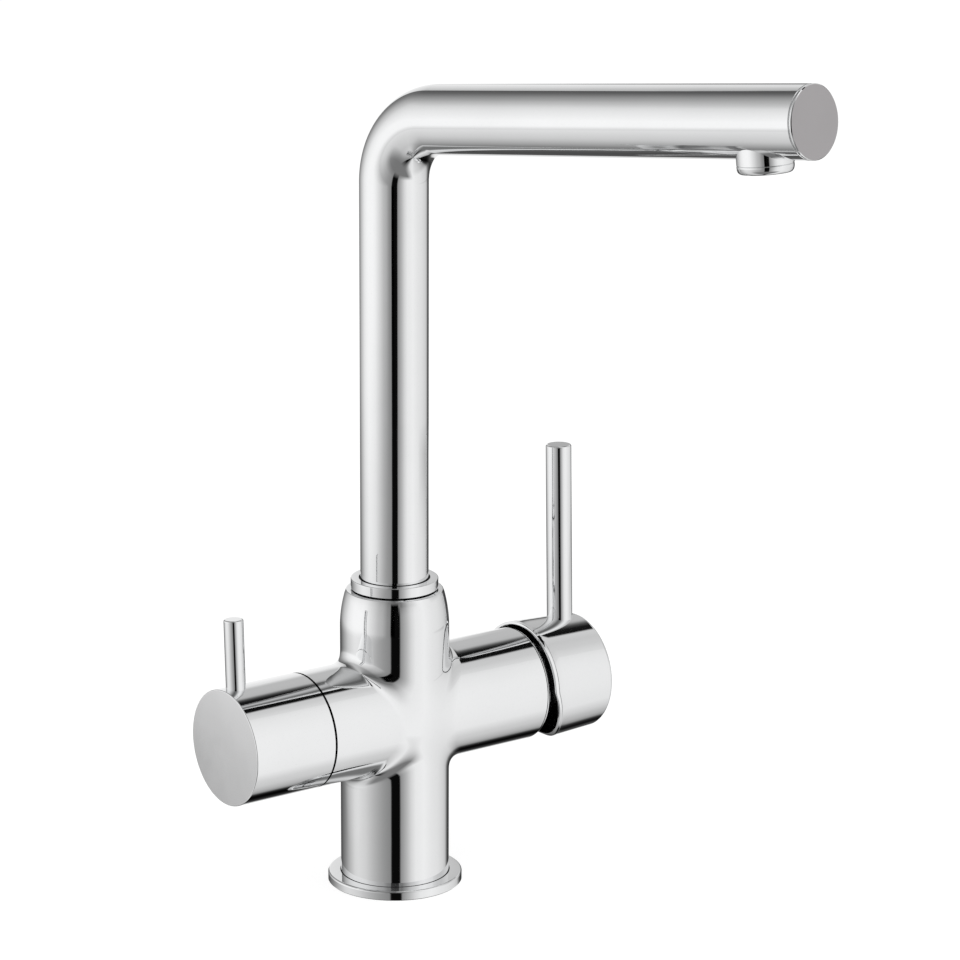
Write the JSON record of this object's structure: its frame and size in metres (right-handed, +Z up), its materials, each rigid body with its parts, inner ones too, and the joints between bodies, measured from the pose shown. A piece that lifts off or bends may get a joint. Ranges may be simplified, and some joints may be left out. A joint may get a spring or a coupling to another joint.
{
  "type": "three way filtered water tap",
  "caption": "Deck mounted kitchen mixer tap with a swivelling L shaped spout, a side lever for mixed water and a small knob for filtered water.",
  "frame": {"origin": "centre of the underside, on the worktop's surface", "axes": "+Z up along the column; -Y towards the user; +X towards the mixer lever, along the cross barrel"},
  "size_m": [0.1802, 0.2369, 0.3575],
  "materials": {
    "chrome": "polished chrome plate",
    "satin_chrome": "satin chrome plate",
    "brass": "machined",
    "steel": "machined stainless steel",
    "ceramic": "lapped alumina ceramic",
    "white_plastic": "moulded",
    "dark_plastic": "moulded",
    "rubber": "moulded"
  },
  "bodies": {
    "tap": {"tap_body": "chrome", "base_flange": "chrome", "base_gasket": "rubber", "spout_collar": "chrome", "filtered_water_nipple": "brass", "filter_headwork": "brass", "filter_fixed_disc": "ceramic", "filter_valve_seal": "rubber", "mixer_cartridge_housing": "dark_plastic", "mixer_fixed_disc": "ceramic", "mixer_base_seals": "rubber", "mixer_ring_nut": "brass", "mixer_dome": "dark_plastic"},
    "spout": {"spout_tube": "chrome", "spout_end_cap": "satin_chrome", "outlet_boss": "chrome", "aerator_housing": "chrome", "aerator_insert": "white_plastic", "aerator_washer": "rubber", "filtered_water_hose": "white_plastic", "spout_bush": "brass", "spout_o_rings": "rubber", "spout_glide_rings": "white_plastic"},
    "filter_control": {"filter_spindle": "brass", "filter_moving_disc": "ceramic", "filter_knob": "chrome", "filter_lever": "chrome", "filter_knob_screw": "steel"},
    "mixer_rotor": {"mixer_turret": "white_plastic", "mixer_pivot_pin": "steel"},
    "mixer_control": {"mixer_stem": "steel", "mixer_handle": "chrome", "mixer_lever": "chrome", "mixer_grub_screw": "steel"},
    "mixer_slider": {"mixer_moving_disc": "ceramic"}
  },
  "joints": [
    {"name": "spout_swivel", "type": "hinge", "parent": "tap", "child": "spout", "pos_m": [0, 0, 0.126], "axis": [0, 0, 1], "continuous": true},
    {"name": "filter_turn", "type": "hinge", "parent": "tap", "child": "filter_control", "pos_m": [-0.0451, 0, 0.0735], "axis": [1, 0, 0], "range_deg": [0, 90]},
    {"name": "mixer_temperature", "type": "hinge", "parent": "tap", "child": "mixer_rotor", "pos_m": [0.062, 0, 0.0735], "axis": [1, 0, 0], "range_deg": [-45, 45]},
    {"name": "mixer_flow", "type": "hinge", "parent": "mixer_rotor", "child": "mixer_control", "pos_m": [0.062, 0, 0.0735], "axis": [0, 1, 0], "range_deg": [0, 25]},
    {"name": "mixer_disc_slide", "type": "slide", "parent": "mixer_rotor", "child": "mixer_slider", "axis": [0, 0, 1], "range_m": [0, 0.00438]}
  ],
  "couplings": [
    {"joint": "mixer_disc_slide", "follows": "mixer_flow", "m_per_rad": 0.01}
  ]
}
